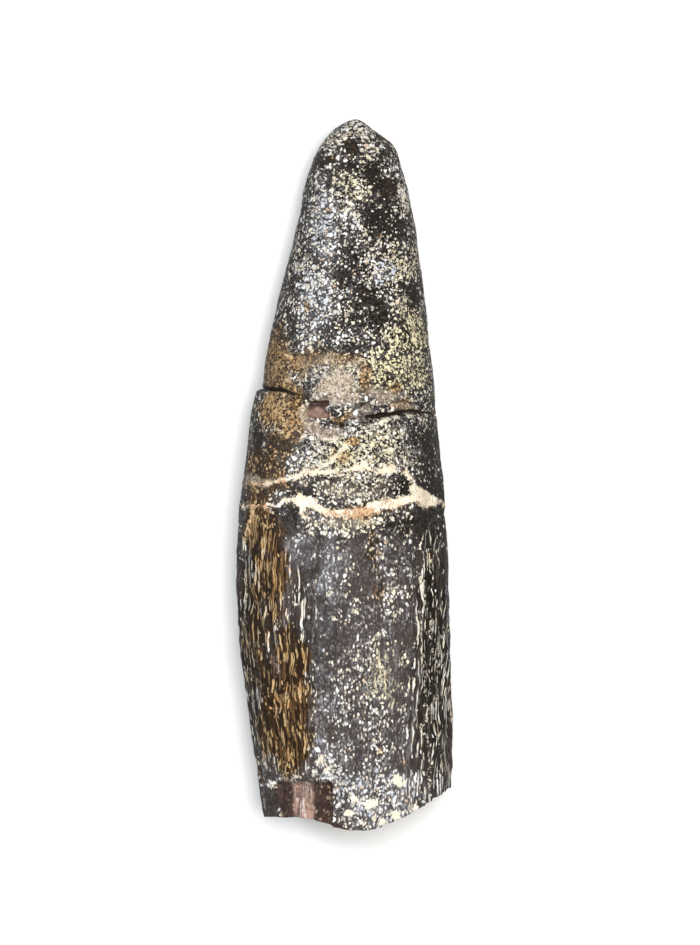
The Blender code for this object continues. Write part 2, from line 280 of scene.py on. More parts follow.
# Cool patches: on the root, the enamel's own bluish grey; the four on the crown paint the bluish glare and
# sheen of the light.
COOL_AND_GLARE_PATCHES = (
    (-1.3, 5.6, 1.0, 2.6, 0.78), (-1.8, 9.6, 1.3, 1.9, 0.78), (2.2, 8.2, 0.7, 0.5, 1.0),
    (0.2, 5.6, 0.6, 1.4, 0.5), (1.6, 36.0, 3.2, 1.6, 0.9), (-0.9, 33.0, 0.8, 3.0, 0.8),
    (-3.2, 34.6, 1.6, 0.8, 0.9), (-0.8, 24.2, 0.9, 2.0, 0.9), (-1.6, 28.5, 1.0, 4.5, 0.55),
    (-2.2, 22.8, 1.0, 1.0, 0.6), (1.4, 19.8, 2.4, 0.7, 0.3),
)
# Dark patches: the enamel's own dark brown and black; the long ones down both side edges of the root also
# paint the shade where the sides turn away from the light.
DARK_AND_EDGE_SHADE_PATCHES = (
    (0.35, 1.3, 0.35, 0.6, 1.0), (-0.9, 2.6, 0.35, 0.25, 1.0), (0.3, 2.5, 0.7, 0.2, 0.6),
    (1.5, 3.2, 0.35, 0.7, 1.1), (2.2, 3.8, 0.4, 0.8, 0.75), (2.3, 5.6, 1.0, 0.9, 0.85),
    (1.3, 9.9, 1.0, 1.4, 0.42), (3.6, 9.2, 0.7, 0.8, 0.65), (0.1, 7.6, 0.5, 1.3, 0.45),
    (-2.7, 11.6, 0.4, 0.8, 0.7), (-2.2, 14.3, 0.4, 0.5, 0.9), (4.6, 18.0, 1.0, 2.6, 0.65),
    (4.8, 28.0, 1.2, 8.5, 0.8), (-1.7, 27.0, 1.1, 4.2, 0.6), (-5.1, 28.0, 0.7, 5.0, 1.2),
    (-4.3, 26.5, 0.8, 2.4, 0.7), (-4.2, 31.5, 0.7, 2.6, 0.7), (-4.3, 16.7, 0.5, 0.5, 1.0),
    (-3.3, 17.3, 0.4, 0.4, 1.0), (-4.6, 17.9, 0.4, 0.7, 0.8), (-2.4, 19.9, 0.7, 0.5, 0.8),
    (1.4, 19.7, 0.8, 0.5, 0.5), (3.2, 19.8, 0.8, 0.6, 0.8), (3.2, 21.9, 1.2, 0.6, 0.6),
    (-3.0, 21.4, 0.6, 0.8, 0.7), (-3.9, 36.6, 0.6, 0.9, 0.45),
)
BEIGE_PATCHES = (
    (-0.5, 14.35, 0.9, 0.6, 1.1), (-1.5, 15.0, 0.5, 0.3, 0.7), (-1.3, 14.5, 0.4, 0.5, 0.5),
    (-0.3, 15.2, 0.8, 0.35, 0.75), (1.9, 14.8, 0.9, 0.6, 0.6), (-0.7, 13.2, 1.7, 0.5, 0.45),
    (0.3, 21.5, 2.0, 0.4, 0.48), (0.6, 19.75, 2.6, 0.5, 0.42), (3.4, 15.4, 0.9, 0.3, 0.5),
    (-1.3, 16.5, 1.1, 0.4, 0.75), (0.7, 15.9, 0.6, 0.4, 0.6), (-2.2, 15.8, 0.3, 0.6, 0.6),
    (-4.5, 19.25, 0.8, 0.35, 0.72),
)
# Where the light mineral lies in worm-like threads, and where it lies in long fibres.
THREAD_PATCHES = (
    (0.4, 17.7, 3.4, 1.6, 1.0), (-3.4, 15.8, 1.3, 1.4, 0.9), (-3.0, 13.2, 1.7, 2.0, 0.7),
    (2.6, 13.6, 2.2, 1.2, 0.5), (-0.5, 14.0, 1.9, 1.6, 0.8), (0.8, 10.5, 1.5, 2.5, 0.35),
    (2.0, 30.0, 1.0, 1.4, 0.75),
)
FIBRE_PATCHES = (
    (-4.1, 27.8, 1.9, 6.3, 1.0), (-4.6, 21.8, 1.0, 2.4, 0.9), (-2.9, 31.0, 1.1, 3.6, 0.95),
    (4.7, 30.5, 1.2, 8.0, 1.0), (3.9, 35.0, 0.8, 2.2, 0.7), (2.3, 29.8, 0.8, 2.0, 0.4),
)
PATCHES = (
    ("ochre", OCHRE_PATCHES, -0.12),
    ("yellow", YELLOW_PATCHES, -0.10),
    ("cream", CREAM_PATCHES, 0.05),
    ("cool_and_glare", COOL_AND_GLARE_PATCHES, 0.00),
    ("dark", DARK_AND_EDGE_SHADE_PATCHES, 0.00),
    ("beige", BEIGE_PATCHES, -0.60),
    ("thread", THREAD_PATCHES, 0.00),
    ("fibre", FIBRE_PATCHES, -0.10),
)
PATCH_EDGE = 1.1
BEIGE_BULGE = 0.06

# Small round pits: across, distance from the tip, radius, depth.
PITS = ((-1.18, 12.45, 0.13, 0.2), (2.16, 14.2, 0.14, 0.22), (-0.2, 16.4, 0.2, 0.22), (2.7, 2.9, 0.12, 0.15))


def smooth_step(value, start=0.0, end=1.0):
    """0 below the start, 1 above the end, and an even curve between."""
    value = np.clip((value - start) / (end - start), 0.0, 1.0)
    return value * value * (3.0 - 2.0 * value)


def smooth_curve(points, at):
    """A smooth curve through points of place and value, read at other places."""
    places, values = np.array(points, float).T
    slopes = np.gradient(values, places)
    index = np.clip(np.searchsorted(places, at) - 1, 0, len(places) - 2)
    gap = places[index + 1] - places[index]
    t = np.clip((at - places[index]) / gap, 0.0, 1.0)
    value = values[index] * (1 + 2 * t) * (1 - t) ** 2 + values[index + 1] * t * t * (3 - 2 * t)
    bend = slopes[index] * t * (1 - t) ** 2 - slopes[index + 1] * t * t * (1 - t)
    return value + gap * bend


def noise_at(x, y, z, spacing, seed):
    """Even noise from -1 to 1 with lumps about as far apart as the spacing."""
    shift = Vector((17.3, 5.1, 11.9)) * seed
    points = zip(x.ravel(), y.ravel(), z.ravel())
    found = [noise.noise(Vector(point) / spacing + shift) for point in points]
    return np.array(found).reshape(x.shape)


def signed_power(value, power):
    return np.sign(value) * np.abs(value) ** power


def side_places(distance):
    """Where the left and the right side are. Reading them by the root of the distance rounds off the tip."""
    reach = np.sqrt(np.clip(distance, 0.0, None))
    return [smooth_curve([(math.sqrt(row[0]), row[side]) for row in SIDES], reach) for side in (1, 2)]


def section(angle, distance):
    """The smooth tooth's surface: place across and height, then the same for the middle of the section."""
    left, right = side_places(distance)
    half_width = (right - left) / 2
    middle = (right + left) / 2
    thickness = 2 * half_width * THICKNESS_PER_WIDTH
    above = thickness * SHARE_ABOVE
    below = thickness - above
    lying = smooth_step(distance, BEND_START, BEND_END)
    bent = TIP_HEIGHT + TIP_SLOPE * distance
    centre = bent + (below - FLAT_SPOT_DEPTH - bent) * lying
    up = np.sin(angle) > 0
    power = np.where(up, 2 / ROUNDNESS_ABOVE, 2 / ROUNDNESS_BELOW)
    across = middle + half_width * signed_power(np.cos(angle), power)
    height = centre + np.where(up, above, below) * signed_power(np.sin(angle), power)
    return across, height, middle, centre


def by_angle(table, column, angle):
    """A column of a table that goes round the tooth by degrees, read at other angles."""
    return smooth_curve([(math.radians(row[0]), row[column]) for row in table], angle % math.tau)


def crack_distance(angle):
    """How far below the tip the crack is, at each angle round the tooth."""
    return by_angle(CRACK_PATH, 1, angle)


def break_distance(across, height):
    """How far below the tip the broken end is. It is drawn back below and a little hollow."""
    left, right = SIDES[-1][1:]
    half_width = (right - left) / 2
    half_height = half_width * THICKNESS_PER_WIDTH
    undercut = BREAK_UNDERCUT * np.clip(1 - height / half_height, 0, 1)
    sideways = (across - (left + right) / 2) / half_width
    upwards = (height - half_height) / half_height
    inside = np.clip(1 - sideways**2 - upwards**2, 0, 1)
    rough = BREAK_ROUGHNESS * noise_at(across, height, 0 * across, BREAK_SPACING, 5)
    rough *= smooth_step(inside / BREAK_RIM)
    grit = BREAK_GRIT * noise_at(across, height, 0 * across, BREAK_GRIT_SPACING, 6)
    return smooth_curve(BREAK_EDGE, across) - undercut - BREAK_HOLLOW * inside + rough + grit


def drawn_out(distance, most):
    """A place along the tooth that counts slower on the root, so that patterns on it are drawn out there."""
    steps = np.linspace(0, LENGTH + 1, 400)
    stretch = 1 + (most - 1) * smooth_step(steps, STRETCH_FROM, STRETCH_FULL)
    counted = np.concatenate([[0], np.cumsum(np.diff(steps) / stretch[1:])])
    return np.interp(distance, steps, counted)


def coarse_relief(angle, distance, across, height):
    """How far the unbroken enamel stands out from the smooth tooth, as seen from a step away."""
    along = LENGTH - distance
    swell = SWELL * noise_at(across, along, height, SWELL_SPACING, 1)
    lumps = LUMP * noise_at(across, along, height, LUMP_SPACING, 2)
    drift = noise_at(across, along / WRINKLE_STRETCH, height, WRINKLE_DRIFT_SPACING, 3)
    wrinkle = WRINKLE * np.sin(WRINKLES_ROUND * (angle + WRINKLE_DRIFT * drift))
    wrinkle *= smooth_step(distance, WRINKLE_FROM, WRINKLE_FULL)
    below_crack = smooth_step((distance - crack_distance(angle)) / STEP_WIDTH + 0.5)
    proud = LOWER_LEFT_PROUD * np.clip(-np.cos(angle), 0, 1) * below_crack
    return (swell + lumps + wrinkle) * smooth_step(distance / SMOOTH_TIP) + proud


def fold_height(across, distance, height):
    """The enamel's own fine folds, from 0 in a furrow to 1 on a crest."""
    along = drawn_out(distance, FOLD_STRETCH)
    bent = across + 0.25 * noise_at(across, along, height, 1.1, 7)
    first = 1 - 2 * np.abs(noise_at(bent, along, height, FOLD_SPACING, 8))
    second = 1 - 2 * np.abs(noise_at(bent, along, height, FOLD_SPACING / 2, 9))
    return np.clip(0.5 + 0.35 * first + 0.25 * second - 0.15, 0, 1)


def scoop_cut(angle, distance, across):
    """The shallow chip below the crack, deepest at the crack."""
    crack = crack_distance(angle)
    reach = np.clip(smooth_curve(SCOOP_END, across) - crack, 0.1, None)
    depth = SCOOP_DEPTH * np.clip(1 - (distance - crack) / reach, 0, 1)
    inside = (across > SCOOP_END[0][0]) & (across < SCOOP_END[-1][0]) & (distance > crack)
    return np.where(inside, depth, 0)


def window_share(distance, across):
    """1 inside the small chip beside the crack, 0 outside it."""
    aside = np.abs(across - WINDOW_CENTRE[0]) - WINDOW_HALF_SIZE[0]
    beyond = np.abs(distance - WINDOW_CENTRE[1]) - WINDOW_HALF_SIZE[1]
    return smooth_step(1 - np.maximum(aside, beyond) / WINDOW_EDGE)


def root_chip_share(distance, across, wobble):
    """1 inside the chip at the broken end, 0 outside it. Only its left side fades out slowly."""
    left = (across - ROOT_CHIP_LEFT + 3 * wobble) / ROOT_CHIP_FADE
    right = (ROOT_CHIP_RIGHT - across) / ROOT_CHIP_EDGE + 0.5
    top = (distance - ROOT_CHIP_TOP + wobble) / ROOT_CHIP_EDGE + 0.5
    return smooth_step(np.minimum.reduce((left, right, top)))


def ruddy_and_window_shadow(distance, across):
    """How ruddy the dentine is: brown in the window with a painted shadow in its top part, ruddy in the
    chip's left half and dark beside that.
    """
    left = (across - RUDDY_LEFT) / RUDDY_FADE
    right = (RUDDY_RIGHT - across) / RUDDY_FADE
    chip = 0.05 + 0.95 * smooth_step(np.minimum(left, right) + 0.5)
    # Painted shadow: the window's top part is darker, as if shaded by its upper wall.
    window = 0.1 + 0.6 * smooth_step((distance - WINDOW_SHADOW_PAINTED_ABOVE) / 0.1 + 0.5)
    return np.where(distance > ROOT_CHIP_TOP - 1, chip, window)


def ring_places():
    """Distances from the tip at which the wall has a ring of points."""
    finest = ((GAP_AT_TIP, 0), (GAP_AT_CRACK, crack_distance(math.pi).item()), (GAP_AT_END, LENGTH))
    rings = [GAP_AT_TIP / 2]
    while rings[-1] < LENGTH:
        gaps = [gap + GAP_GROWTH * abs(rings[-1] - place) for gap, place in finest]
        rings.append(rings[-1] + min(GAP_MOST, *gaps))
    return np.array(rings[:-1]) * LENGTH / rings[-2]


def wall_places(angle, ring):
    """The distance from the tip of each point of the wall. The rings follow the crack and the broken end."""
    crack_at_left = crack_distance(math.pi)
    near_crack = smooth_step(1 - np.abs(ring - crack_at_left) / CRACK_FOLLOWED_OVER)
    distance = ring + (crack_distance(angle) - crack_at_left) * near_crack
    across, height, _, _ = section(angle, distance)
    near_end = smooth_step(1 - (LENGTH - ring) / END_FOLLOWED_OVER)
    return distance + (break_distance(across, height) - LENGTH) * near_end


def raised(angle, distance, fine=0.0, cut=0.0):
    """The enamel's points, as across, along and up, with finer relief added and chips cut out."""
    across, height, middle, centre = section(angle, distance)
    out = coarse_relief(angle, distance, across, height) + fine - cut
    outwards = np.stack([across - middle, height - centre])
    outwards = outwards / np.maximum(np.linalg.norm(outwards, axis=0), 1e-6)
    across, height = np.stack([across, height]) + out * outwards
    return np.stack([across, LENGTH - distance, height], axis=-1)


def drifted(points, pushes, first_seed):
    """The same points, pushed by smooth noise, so that what is drawn at them gets a ragged edge."""
    for seed, (spacing, reach) in enumerate(pushes, DRIFT_SEED + first_seed):
        noise.seed_set(seed)
        moved = [noise.noise_vector(Vector(point) / spacing) for point in points.reshape(-1, 3)]
        points = points + reach * np.array(moved).reshape(points.shape)
    return points


def line_field(points, lines):
    """A line's half width less the distance from its middle, so it is above 0 on a line."""
    field = np.full(points.shape[:-1], -1.0)
    for line in lines:
        at = np.linspace(0, len(line) - 1, STEPS_PER_POINT * len(line))
        degrees, distance, half_width = (np.interp(at, range(len(line)), column) for column in zip(*line))
        ends = raised(np.radians(degrees), distance)
        for start, end, first, last in zip(ends, ends[1:], half_width, half_width[1:]):
            step = end - start
            t = np.clip((points - start) @ step / (step @ step), 0, 1)
            gap = np.linalg.norm(points - start - t[..., None] * step, axis=-1)
            field = np.maximum(field, first + (last - first) * t - gap)
    return field


def patch_field(across, distance, patches):
    """How strongly soft oval patches cover each point."""
    field = np.zeros(across.shape)
    for middle, down, half_across, half_along, strength in patches:
        out = np.hypot((across - middle) / half_across, (distance - down) / half_along)
        field = np.maximum(field, strength * smooth_step((1 + PATCH_EDGE / 2 - out) / PATCH_EDGE))
    return field


def spot_field(across, distance, above):
    """A spot's radius less the distance from its middle, so it is above 0 on a spot."""
    field = np.full(across.shape, -1.0)
    for middle, down, radius in SPOTS:
        field = np.maximum(field, radius - np.hypot(across - middle, distance - down))
    return np.where(above, field, -1.0)


def pit_fields(across, distance):
    """1 in the middle of a pit, and the depth that is cut there."""
    fields = np.zeros((2, *across.shape))
    for middle, down, radius, depth in PITS:
        inside = np.exp(-((np.hypot(across - middle, distance - down) / radius) ** 2))
        fields = np.maximum(fields, (inside, depth * inside))
    return fields


def patches_all_round(points, angle, patches, seed, share_below):
    """The upper face's patches, which give way to chance ones round the sides and below."""
    upper = patch_field(points[..., 0], LENGTH - points[..., 1], patches)
    blotch = noise_at(points[..., 0], points[..., 1] / 1.6, points[..., 2], 2.6, seed)
    lower = smooth_step((blotch + share_below) / 0.45) * 0.8
    above = smooth_step(0.45 + 1.6 * np.sin(angle))
    return lower + (upper - lower) * above


def fossil_surface():
    """The fossil's points, in rings down the wall and in to the middle of the break, with their marks."""
    above = np.linspace(0, math.pi, AROUND_ABOVE, endpoint=False)
    below = np.linspace(math.pi, math.tau, AROUND_BELOW, endpoint=False)
    angle, ring = np.meshgrid(np.concatenate([above, below]), ring_places())
    distance = wall_places(angle, ring)
    across, height, _, _ = section(angle, distance)
    is_above = np.sin(angle) > 0
    rough = raised(angle, distance)
    ragged = drifted(rough, LINE_DRIFT, 1)
    marks = {"vein": line_field(ragged, VEINS), "line": line_field(ragged, CREAM_LINES)}
    marks["spot"] = spot_field(ragged[..., 0], LENGTH - ragged[..., 1], is_above)
    uneven = drifted(rough, PATCH_DRIFT, 3)
    for number, (name, patches, share_below) in enumerate(PATCHES):
        marks[name] = patches_all_round(uneven, angle, patches, 20 + number, share_below)

    fold = fold_height(across, distance, height)
    rootward = smooth_step(distance, STRETCH_FROM, STRETCH_FULL)
    pebble = noise_at(across, drawn_out(distance, GRAIN_STRETCH), height, PEBBLE_SPACING, 10)
    calm = 1 - 0.75 * marks["beige"]
    fine = (FOLD_ON_CROWN + (FOLD_ON_ROOT - FOLD_ON_CROWN) * rootward) * (fold - 0.5) * 2 * calm
    fine += PEBBLE * pebble * calm
    fine += VEIN_RAISED * smooth_step(marks["vein"] / 0.08 + 0.4) + BEIGE_BULGE * marks["beige"]

    half_width, depth = (by_angle(CRACK_OPENING, column, angle) for column in (1, 2))
    uneven = 1 + 0.35 * noise_at(across, height, 0 * across, 0.7, 4)
    gap = np.exp(-(np.abs((distance - crack_distance(angle)) / (half_width * uneven)) ** 2.5))
    wobble = 0.15 * noise_at(across, distance, height, 0.5, 11)
    window = is_above * window_share(distance, across)
    chip = is_above * root_chip_share(distance, across, wobble)
    scoop = is_above * scoop_cut(angle, distance, across)
    facets = CHIP_FACET * noise_at(across, distance / 3, height, CHIP_FACET_SPACING, 12)
    edge = smooth_curve(BREAK_EDGE, across) - distance
    lost = BARE_EDGE * (1 - np.abs(across - BARE_EDGE_MIDDLE) / BARE_EDGE_REACH)
    bare_edge = is_above * smooth_step((lost - edge) / BARE_EDGE_FADE + 0.5)
    pits, pit_cut = is_above * pit_fields(across, distance)
    # Painted shade: the crack and the pits are marked to be painted near black inside.
    marks["gap"] = np.maximum(gap * smooth_step((depth - 0.03) / 0.2), pits)
    marks["ruddy"] = ruddy_and_window_shadow(distance, across)
    marks["dentine"] = np.maximum.reduce((window, chip, bare_edge))
    marks["root"] = rootward
    fine = fine * (1 - marks["dentine"]) * smooth_step(distance / 0.4)
    cut = np.maximum.reduce((scoop, WINDOW_DEPTH * window, (ROOT_CHIP_DEPTH + facets) * chip))
    cut = np.maximum(cut, depth * uneven * gap) + pit_cut
    wall = raised(angle, distance, fine, cut)
    marks["core"] = np.zeros(angle.shape)
    return add_break(angle, wall, np.stack([across, distance, height], axis=-1), marks)


def add_break(angle, wall, smooth_wall, marks):
    """Adds the rings of the broken end below those of the wall."""
    inward = (1 - np.arange(1, CAP_RINGS + 1) / (CAP_RINGS + 1)) ** (1 / CAP_POWER)
    inward[0] = FIRST_CAP_RING
    inward = inward[:, None]
    rim = wall[-1]
    _, _, middle, centre = section(angle[-1], np.full(angle.shape[1], LENGTH))
    across = middle + (rim[:, 0] - middle) * inward
    height = centre + (rim[:, 2] - centre) * inward
    face = LENGTH - break_distance(across, height)
    along = rim[:, 1] + (face - rim[:, 1]) * smooth_step(5 * (1 - inward))
    cap = np.stack([across, along, height], axis=-1)
    points = np.concatenate([wall, cap])
    smooth_cap = np.stack([across, LENGTH - along, height], axis=-1)
    places = np.concatenate([smooth_wall, smooth_cap])
    on_break = {"dentine": 1, "ruddy": 0.35, "core": 1 - inward, "vein": -1, "line": -1, "spot": -1}
    for name, values in marks.items():
        marks[name] = np.concatenate([values, np.broadcast_to(on_break.get(name, 0), across.shape)])
    return points, places, marks


def main_mesh():
    points, places, marks = fossil_surface()
    rings, around = points.shape[:2]
    tip_across, tip_height, _, _ = section(np.zeros(1), np.zeros(1))
    tip = np.array([[tip_across[0], LENGTH, tip_height[0]]])
    end = points[-1].mean(axis=0, keepdims=True)
    flat = np.concatenate([points.reshape(-1, 3), tip, end])
    flat[:, 2] = np.clip(flat[:, 2], 0, None)
    low, high = (np.array(corner) / METRES_PER_MM for corner in cad_box)
    middle = (flat.min(axis=0) + flat.max(axis=0)) / 2
    shift = ((low + high) / 2 - middle) * (1, 1, 0)
    flat += shift

    here = np.arange(rings * around).reshape(rings, around)
    beside = np.roll(here, -1, axis=1)
    quads = np.stack([here[:-1], here[1:], beside[1:], beside[:-1]], axis=-1).reshape(-1, 4)
    tips, ends = np.full((2, around), [[rings * around], [rings * around + 1]])
    first_fan = np.stack([tips, here[0], beside[0]], axis=-1)
    last_fan = np.stack([ends, beside[-1], here[-1]], axis=-1)
    mesh = bpy.data.meshes.new("fossil")
    faces = quads.tolist() + first_fan.tolist() + last_fan.tolist()
    mesh.from_pydata((flat * METRES_PER_MM).tolist(), [], faces)
    mesh.update()
    store_marks(mesh, places, marks)
    unwrap(mesh, flat, rings, around)
    mesh.shade_smooth()
    return mesh, flat, shift


def store_marks(mesh, places, marks):
    """Keeps the marks on the mesh, with the places that patterns are drawn at, which stretch on the root."""
    ends = [[SIDES[0][1], 0.0, TIP_HEIGHT], places[-1].mean(axis=0)]
    places = np.concatenate([places.reshape(-1, 3), ends])
    for name, stretch in (("grain", GRAIN_STRETCH), ("streak", STREAK_STRETCH), ("strand", FIBRE_STRETCH)):
        drawn = places.copy()
        drawn[:, 1] = drawn_out(places[:, 1], stretch)
        mesh.attributes.new(name, "FLOAT_VECTOR", "POINT").data.foreach_set("vector", drawn.ravel())
    for name, values in marks.items():
        all_values = np.concatenate([values.ravel(), [values[0].mean(), values[-1].mean()]])
        mesh.attributes.new(name, "FLOAT", "POINT").data.foreach_set("value", all_values)


# The flat texture: the unrolled wall takes the lower part, and the broken end lies above it.
WALL_SHARE = 0.76
MAP_GAP = 0.01
CAP_SIZE = (0.264, 0.198)


def unwrap(mesh, points, rings, around):
    """Lays the wall out as a strip with its seam below, and the broken end as an oval above the strip."""
    corners = np.empty(len(mesh.loops), np.int64)
    mesh.loops.foreach_get("vertex_index", corners)
    turned = ((np.arange(around) - AROUND_ABOVE - AROUND_BELOW // 2) % around)[:, None]
    quads = np.tile(turned + [0, 0, 1, 1], (rings - 1, 1))
    fans = (turned + [0.5, 0, 1], turned + [0.5, 1, 0])
    turned = np.concatenate([part.ravel() for part in (quads, *fans)])
    corners_on = (4 * (rings - CAP_RINGS - 1), 4 * CAP_RINGS, 3, 3)
    is_cap = np.repeat([False, True, False, True], np.array(corners_on) * around)

    across, along, height = points[corners].T
    top, bottom = points[:, 1].max(), points[:, 1].min()
    u = MAP_GAP + (1 - 2 * MAP_GAP) * turned / around
    v = MAP_GAP + WALL_SHARE * (along - bottom) / (top - bottom)
    width = 2 * SIDES[-1][2]
    cap_u = 0.5 + across / width * CAP_SIZE[0]
    cap_v = WALL_SHARE + 3 * MAP_GAP + height / (width * THICKNESS_PER_WIDTH) * CAP_SIZE[1]
    flat = np.where(is_cap, (cap_u, cap_v), (u, v)).T
    mesh.uv_layers.new(name="OFBake").data.foreach_set("uv", flat.ravel())


class Tree:
    """Short calls that build a material's or the world's nodes. Each value given is a number or a socket."""

    def __init__(self, owner, shader="Principled BSDF"):
        owner.use_nodes = True
        self.owner = owner
        self.nodes = owner.node_tree.nodes
        self.links = owner.node_tree.links
        self.shader = self.nodes[shader]

    def put(self, socket, value):
        if isinstance(value, bpy.types.NodeSocket):
            self.links.new(value, socket)
        else:
            socket.default_value = value

    def look(self, name, value):
        """Sets one of the shader's own inputs."""
        self.put(self.shader.inputs[name], value)

    def node(self, kind, inputs=(), **settings):
        """A new node. Its inputs go by name or number, and are filled once its settings are made."""
        node = self.nodes.new("ShaderNode" + kind)
        for name, setting in settings.items():
            setattr(node, name, setting)
        for key, value in dict(inputs).items():
            self.put(node.inputs[key], value)
        return node

    def math(self, operation, *values, clamp=False):
        return self.node("Math", enumerate(values), operation=operation, use_clamp=clamp).outputs[0]

    def times(self, first, second, clamp=False):
        return self.math("MULTIPLY", first, second, clamp=clamp)

    def scaled(self, value, factor, added, clamp=False):
        return self.math("MULTIPLY_ADD", value, factor, added, clamp=clamp)

    def larger(self, first, second):
        return self.math("MAXIMUM", first, second)

    def vector_math(self, operation, *values):
        return self.node("VectorMath", enumerate(values), operation=operation).outputs[0]

    def wander(self, place, per_mm, detail, reach):
        """Noise in each direction that reaches to both sides of 0."""
        wandering = self.noise(place, per_mm, detail, output="Color")
        centred = self.vector_math("SUBTRACT", wandering, (0.5, 0.5, 0.5))
        return self.node("VectorMath", {0: centred, "Scale": reach}, operation="SCALE").outputs[0]

    def between(self, value, low, high):
        """0 where the value is at low, 1 where it is at high, and an even curve between."""
        inputs = {"Value": value, "From Min": low, "From Max": high}
        return self.node("MapRange", inputs, interpolation_type="SMOOTHSTEP").outputs["Result"]

    def blend(self, share, first, second):
        inputs = {"Factor": share, "A": first, "B": second}
        return self.node("Mix", inputs, data_type="RGBA").outputs["Result"]

    def mark(self, name, output="Fac"):
        return self.node("Attribute", attribute_name=name).outputs[output]

    def noise(self, place, per_mm, detail=2.0, roughness=0.5, output="Fac"):
        inputs = {"Vector": place, "Scale": per_mm, "Detail": detail, "Roughness": roughness}
        return self.node("TexNoise", inputs).outputs[output]

    def parts(self, colour):
        return self.node("SeparateColor", {0: colour}).outputs


def colour(red, green, blue):
    return (red, green, blue, 1.0)


BLACK = colour(0.008, 0.006, 0.004)
DEEP_GREY = colour(0.06, 0.049, 0.047)
BROWN = colour(0.11, 0.082, 0.064)
SLATE = colour(0.23, 0.214, 0.222)
RUST_DARK = colour(0.022, 0.013, 0.007)
RUST = colour(0.16, 0.086, 0.034)
GOLD = colour(0.52, 0.29, 0.105)
PALE_GOLD = colour(0.72, 0.54, 0.31)
CREAM = colour(0.88, 0.8, 0.64)
YELLOW = colour(0.94, 0.83, 0.5)
BLUSH = colour(0.76, 0.55, 0.38)
PEACH = colour(0.74, 0.49, 0.28)
WHITE = colour(0.95, 0.93, 0.9)
# Bluish: a real blue-grey on the root, and painted glare and sheen on the crown.
BLUISH = colour(0.67, 0.71, 0.78)
TAN = colour(0.66, 0.55, 0.42)
TAN_DARK = colour(0.25, 0.19, 0.145)
RED_BROWN = colour(0.36, 0.2, 0.13)
# Painted shade for the inside of the crack and the pits.
CRACK_SHADE_BLACK = colour(0.022, 0.014, 0.01)
DENTINE_DARK = colour(0.022, 0.012, 0.009)
DENTINE = colour(0.042, 0.023, 0.018)
DENTINE_RUDDY = colour(0.38, 0.24, 0.19)
BROKEN_DARK = colour(0.12, 0.082, 0.062)
BROKEN = colour(0.4, 0.3, 0.22)
PULP = colour(0.56, 0.5, 0.41)
GROWTH_RINGS = 9

# How many lumps of each pattern lie on a mm, and how far the drift and the shiver push.
MIDDLING_PER_MM = 0.9
DRIFT_PER_MM = 1.8
DRIFT_REACH = 0.40
SHIVER_PER_MM = 7.0
SHIVER_REACH = 0.12
FINE_PER_MM = 9.0
THREADS_PER_MM = 4.2
PATCHY_PER_MM = 1.8
GLINTS_PER_MM = 6.5
# The drift's share in each direction where patterns are drawn out.
DRAWN_OUT_DRIFT = {"streak": (0.8, 0.5, 0.8), "strand": (0.7, 0.2, 0.7)}

# Flecks: how many lie on a mm, their least and most reach in a cell, and how dim they can be.
FLECKS = (4.8, 0.38, 0.60, 0.60)
LARGE_FLECKS = (2.8, 0.26, 0.48, 0.80)
GRIT = (9.0, 0.42, 0.75, 0.40)
FIBRES = (10.0, 0.36, 0.78, 0.52)
# What each mark adds to the share of flecks that show.
FLECKS_BY_MARK = {"cream": 0.55, "dark": -0.36, "root": -0.20, "fibrous": -0.26}
LEAST_FLECKS = 0.03

BUMP_HEIGHT = 0.040
ENAMEL_IOR = 1.5


def fossil_material():
    t = Tree(bpy.data.materials.new("fossil_enamel"))
    grain = t.mark("grain", "Vector")
    middling = t.noise(grain, MIDDLING_PER_MM, 3)
    drift = t.wander(grain, DRIFT_PER_MM, 2, DRIFT_REACH)
    bent = t.vector_math("ADD", grain, drift)
    ragged = t.vector_math("ADD", bent, t.wander(bent, SHIVER_PER_MM, 1, SHIVER_REACH))
    streak, strand = (
        t.vector_math("ADD", t.mark(name, "Vector"), t.vector_math("MULTIPLY", drift, share))
        for name, share in DRAWN_OUT_DRIFT.items()
    )
    fine = t.noise(bent, FINE_PER_MM, 2, 0.6)
    worm = t.math("ABSOLUTE", t.math("SUBTRACT", t.noise(ragged, THREADS_PER_MM, 1), 0.5))
    threads = t.between(worm, 0.055, 0.020)

    marks = {name: t.mark(name) for name, _, _ in PATCHES}
    marks["root"] = t.mark("root")
    marks["fibrous"] = t.between(t.times(marks["fibre"], marks["root"]), 0.1, 0.6)
    light, grit, chance = light_mineral(t, marks, (ragged, streak, strand), middling, threads)
    skin = enamel_colour(t, marks, light, grit, chance, middling, fine, threads)
    skin, on_vein = with_veins(t, skin, marks["ochre"], middling, fine, threads)
    skin = with_breaks(t, skin, light, grit, grain, strand, fine)
    t.look("Base Color", skin)

    matt = t.scaled(t.larger(light, on_vein), 0.25, 0.24)
    matt = t.math("ADD", matt, t.times(t.math("SUBTRACT", middling, 0.5), 0.3), clamp=True)
    t.look("Roughness", t.scaled(t.mark("dentine"), -0.16, matt, clamp=True))
    t.look("Specular IOR Level", t.scaled(marks["fibrous"], -0.35, 0.5))
    t.look("IOR", ENAMEL_IOR)
    height = t.math("ADD", grit, fine)
    bump = t.node("Bump", {"Height": height, "Distance": BUMP_HEIGHT * METRES_PER_MM, "Strength": 1.0})
    t.look("Normal", bump.outputs["Normal"])
    return t.owner


